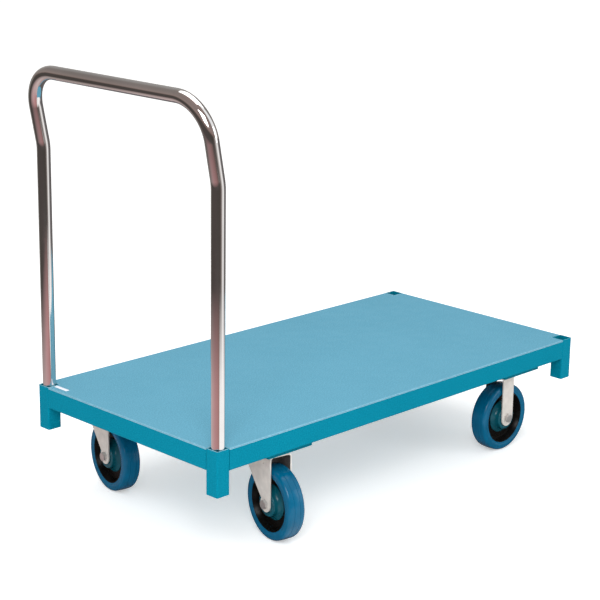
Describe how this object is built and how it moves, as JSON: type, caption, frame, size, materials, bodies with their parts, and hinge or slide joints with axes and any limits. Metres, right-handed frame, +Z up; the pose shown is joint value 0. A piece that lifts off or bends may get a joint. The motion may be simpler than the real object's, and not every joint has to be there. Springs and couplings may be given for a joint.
{
  "type": "platform cart",
  "caption": "Flat steel platform cart with a lift-out tubular push handle, corner stake sockets, swivel casters at the handle end and fixed casters at the front.",
  "frame": {"origin": "the middle of the deck's top face", "axes": "+Z up, +X along the deck away from the push handle, +Y to the left of a person who pushes"},
  "size_m": [1.2306, 0.6428, 0.9969],
  "materials": {
    "deck_paint": "satin",
    "frame_paint": "satin",
    "plate_paint": "satin",
    "label_film": "satin",
    "chrome_tube": "polished",
    "fork_zinc": "zinc plated",
    "fastener_zinc": "zinc plated",
    "bearing_steel": "ground",
    "guard_plastic": "gloss",
    "rim_plastic": "gloss",
    "tyre_rubber": "satin"
  },
  "bodies": {
    "cart_frame": {"deck_sheet": "deck_paint", "deck_label": "label_film", "side_rail_right": "frame_paint", "side_rail_left": "frame_paint", "end_rail_rear": "frame_paint", "end_rail_front": "frame_paint", "stringer_right": "frame_paint", "stringer_left": "frame_paint", "cross_rail_rear": "frame_paint", "cross_rail_front": "frame_paint", "post_rear_right": "frame_paint", "post_rear_left": "frame_paint", "post_front_right": "frame_paint", "post_front_left": "frame_paint", "socket_stops": "frame_paint", "plate_bolts": "fastener_zinc", "plate_nuts": "fastener_zinc", "fixed_axle_bolts": "fastener_zinc", "fixed_axle_nuts": "fastener_zinc", "right_swivel_mount_plate": "plate_paint", "right_swivel_top_plate": "fork_zinc", "right_swivel_race_balls": "bearing_steel", "right_swivel_kingpin": "fastener_zinc", "left_swivel_mount_plate": "plate_paint", "left_swivel_top_plate": "fork_zinc", "left_swivel_race_balls": "bearing_steel", "left_swivel_kingpin": "fastener_zinc", "right_fixed_mount_plate": "plate_paint", "right_fixed_fork": "fork_zinc", "right_fixed_axle_sleeve": "bearing_steel", "left_fixed_mount_plate": "plate_paint", "left_fixed_fork": "fork_zinc", "left_fixed_axle_sleeve": "bearing_steel"},
    "push_handle": {"push_handle": "chrome_tube"},
    "right_swivel": {"right_swivel_fork": "fork_zinc", "right_swivel_axle_bolt": "fastener_zinc", "right_swivel_axle_nut": "fastener_zinc", "right_swivel_axle_sleeve": "bearing_steel"},
    "left_swivel": {"left_swivel_fork": "fork_zinc", "left_swivel_axle_bolt": "fastener_zinc", "left_swivel_axle_nut": "fastener_zinc", "left_swivel_axle_sleeve": "bearing_steel"},
    "right_swivel_wheel": {"right_swivel_bearings": "bearing_steel", "right_swivel_thread_guards": "guard_plastic", "right_swivel_rim": "rim_plastic", "right_swivel_tyre": "tyre_rubber"},
    "left_swivel_wheel": {"left_swivel_bearings": "bearing_steel", "left_swivel_thread_guards": "guard_plastic", "left_swivel_rim": "rim_plastic", "left_swivel_tyre": "tyre_rubber"},
    "right_fixed_wheel": {"right_fixed_bearings": "bearing_steel", "right_fixed_thread_guards": "guard_plastic", "right_fixed_rim": "rim_plastic", "right_fixed_tyre": "tyre_rubber"},
    "left_fixed_wheel": {"left_fixed_bearings": "bearing_steel", "left_fixed_thread_guards": "guard_plastic", "left_fixed_rim": "rim_plastic", "left_fixed_tyre": "tyre_rubber"}
  },
  "joints": [
    {"name": "handle_lift", "type": "slide", "parent": "cart_frame", "child": "push_handle", "axis": [0, 0, 1], "range_m": [0, 0.11]},
    {"name": "right_swivel_turn", "type": "hinge", "parent": "cart_frame", "child": "right_swivel", "pos_m": [-0.385, -0.23, -0.056], "axis": [0, 0, 1], "continuous": true},
    {"name": "left_swivel_turn", "type": "hinge", "parent": "cart_frame", "child": "left_swivel", "pos_m": [-0.455, 0.23, -0.056], "axis": [0, 0, 1], "continuous": true},
    {"name": "right_swivel_wheel_roll", "type": "hinge", "parent": "right_swivel", "child": "right_swivel_wheel", "pos_m": [-0.38986, -0.25757, -0.178], "axis": [0.9848, -0.1736, 0], "continuous": true},
    {"name": "left_swivel_wheel_roll", "type": "hinge", "parent": "left_swivel", "child": "left_swivel_wheel", "pos_m": [-0.45986, 0.20242, -0.178], "axis": [0.9848, -0.1736, 0], "continuous": true},
    {"name": "right_fixed_wheel_roll", "type": "hinge", "parent": "cart_frame", "child": "right_fixed_wheel", "pos_m": [0.409, -0.23, -0.178], "axis": [0, 1, 0], "continuous": true},
    {"name": "left_fixed_wheel_roll", "type": "hinge", "parent": "cart_frame", "child": "left_fixed_wheel", "pos_m": [0.409, 0.23, -0.178], "axis": [0, 1, 0], "continuous": true}
  ]
}
